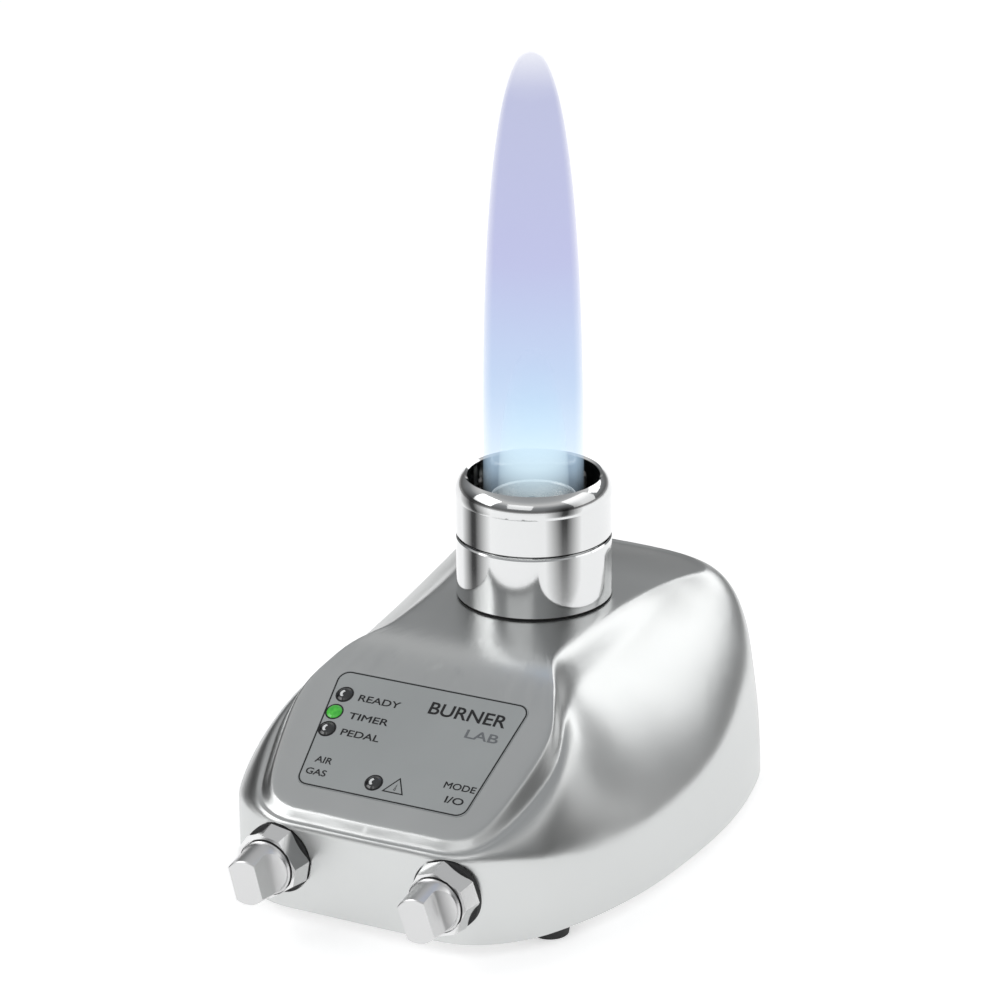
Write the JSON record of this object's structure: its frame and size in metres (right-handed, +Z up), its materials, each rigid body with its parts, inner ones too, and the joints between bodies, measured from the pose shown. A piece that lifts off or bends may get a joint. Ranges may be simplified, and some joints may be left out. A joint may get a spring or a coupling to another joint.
{
  "type": "laboratory gas burner",
  "caption": "Compact desktop laboratory gas burner with a steel housing, sloping indicator panel, lift-off burner head, gas and air knobs and a rear hose inlet.",
  "frame": {"origin": "centre of the overall box on the plane the rubber feet stand on", "axes": "+Z up, -Y towards the knobs and the user, +Y towards the gas inlet, +X to the right seen from the knobs"},
  "size_m": [0.1032, 0.1618, 0.0799],
  "materials": {
    "brushed_housing": "satin stainless sheet with a fine brushed grain",
    "plate_steel": "plain stainless sheet, mill finish",
    "rubber_black": "matte black rubber",
    "zinc_steel": "bright zinc plated steel",
    "plastic_black": "fine textured black plastic",
    "label_film": "satin metallised polyester film with a thin black printed border",
    "lamp_clear": "dark smoked lens, unlit",
    "lamp_green": "lit green lens",
    "board_green": "solder resist over glass fibre board",
    "led_clear": "clear moulded epoxy",
    "nylon_white": "natural nylon",
    "gasket_graphite": "dark heat resistant gasket",
    "polished_steel": "mirror polished stainless steel",
    "tube_steel": "turned stainless steel, lightly heat tinted",
    "brass": "machined brass",
    "electrode_steel": "heat resistant wire, slightly oxidised",
    "ceramic_white": "glazed alumina",
    "collar_steel": "bright faceted metal",
    "knob_silver": "satin turned aluminium, edges a little brighter",
    "nickel_brass": "nickel plated turned brass",
    "copper": "drawn copper tube",
    "spring_steel": "spring wire"
  },
  "bodies": {
    "appliance": {"housing_shell": "brushed_housing", "base_plate": "plate_steel", "rubber_feet": "rubber_black", "foot_screws": "zinc_steel", "foot_bosses": "zinc_steel", "rear_connector_plate": "plastic_black", "panel_label": "label_film", "status_lamp_upper": "lamp_clear", "status_lamp_middle": "lamp_green", "status_lamp_lower": "lamp_clear", "warning_lamp": "lamp_clear", "circuit_board": "board_green", "indicator_leds": "led_clear", "board_posts": "nylon_white", "burner_gasket": "gasket_graphite", "burner_base_ring": "polished_steel", "mixing_tube": "tube_steel", "flame_grid": "tube_steel", "gas_jet": "brass", "ignition_electrode": "electrode_steel", "flame_sensor": "electrode_steel", "electrode_insulator": "ceramic_white", "sensor_insulator": "ceramic_white", "gas_valve_block": "brass", "rotary_switch": "plastic_black", "knob_seals": "rubber_black", "gas_inlet": "nickel_brass", "inlet_nut": "nickel_brass", "inlet_pipe": "copper", "gas_feed_pipe": "copper", "supply_pipe": "copper", "solenoid_valve_body": "brass", "solenoid_coil": "plastic_black", "plunger_spring": "spring_steel", "ignition_transformer": "plastic_black", "power_socket": "plastic_black", "pedal_socket": "plastic_black"},
    "burner_cap": {"burner_head": "polished_steel"},
    "gas_control": {"gas_knob": "knob_silver", "gas_spindle": "zinc_steel"},
    "gas_metering": {"gas_needle": "electrode_steel"},
    "air_control": {"air_ring": "collar_steel", "air_spindle": "zinc_steel"},
    "air_metering": {"air_shutter": "plate_steel"},
    "switch_control": {"on_off_knob": "knob_silver", "switch_spindle": "zinc_steel"},
    "mode_control": {"mode_ring": "collar_steel", "mode_spindle": "zinc_steel"},
    "gas_shutoff": {"solenoid_plunger": "plate_steel"}
  },
  "joints": [
    {"name": "burner_head_lift", "type": "slide", "parent": "appliance", "child": "burner_cap", "axis": [0, 0, 1], "range_m": [0, 0.03]},
    {"name": "gas_knob_turn", "type": "hinge", "parent": "appliance", "child": "gas_control", "pos_m": [-0.0209, -0.0664, 0.0149], "axis": [0, -1, 0], "range_deg": [-135, 135]},
    {"name": "gas_needle_travel", "type": "slide", "parent": "appliance", "child": "gas_metering", "axis": [0, -1, 0], "range_m": [-0.0003, 0.0003]},
    {"name": "air_ring_turn", "type": "hinge", "parent": "appliance", "child": "air_control", "pos_m": [-0.0209, -0.0664, 0.0149], "axis": [0, -1, 0], "range_deg": [-60, 60]},
    {"name": "air_shutter_turn", "type": "hinge", "parent": "appliance", "child": "air_metering", "pos_m": [0, 0.018, 0.021], "axis": [0, 0, 1], "range_deg": [-30, 30]},
    {"name": "on_off_knob_turn", "type": "hinge", "parent": "appliance", "child": "switch_control", "pos_m": [0.0209, -0.0664, 0.0149], "axis": [0, -1, 0], "range_deg": [0, 90]},
    {"name": "mode_ring_turn", "type": "hinge", "parent": "appliance", "child": "mode_control", "pos_m": [0.0209, -0.0664, 0.0149], "axis": [0, -1, 0], "range_deg": [-60, 60]},
    {"name": "solenoid_plunger_travel", "type": "slide", "parent": "appliance", "child": "gas_shutoff", "axis": [0, 0, 1], "range_m": [0, 0.0015], "stiffness_N_per_m": 200, "springref_m": -0.002, "deforming": ["plunger_spring"]}
  ],
  "couplings": [
    {"joint": "gas_needle_travel", "follows": "gas_knob_turn", "m_per_rad": 0.000119},
    {"joint": "air_shutter_turn", "follows": "air_ring_turn", "ratio": 0.5}
  ]
}
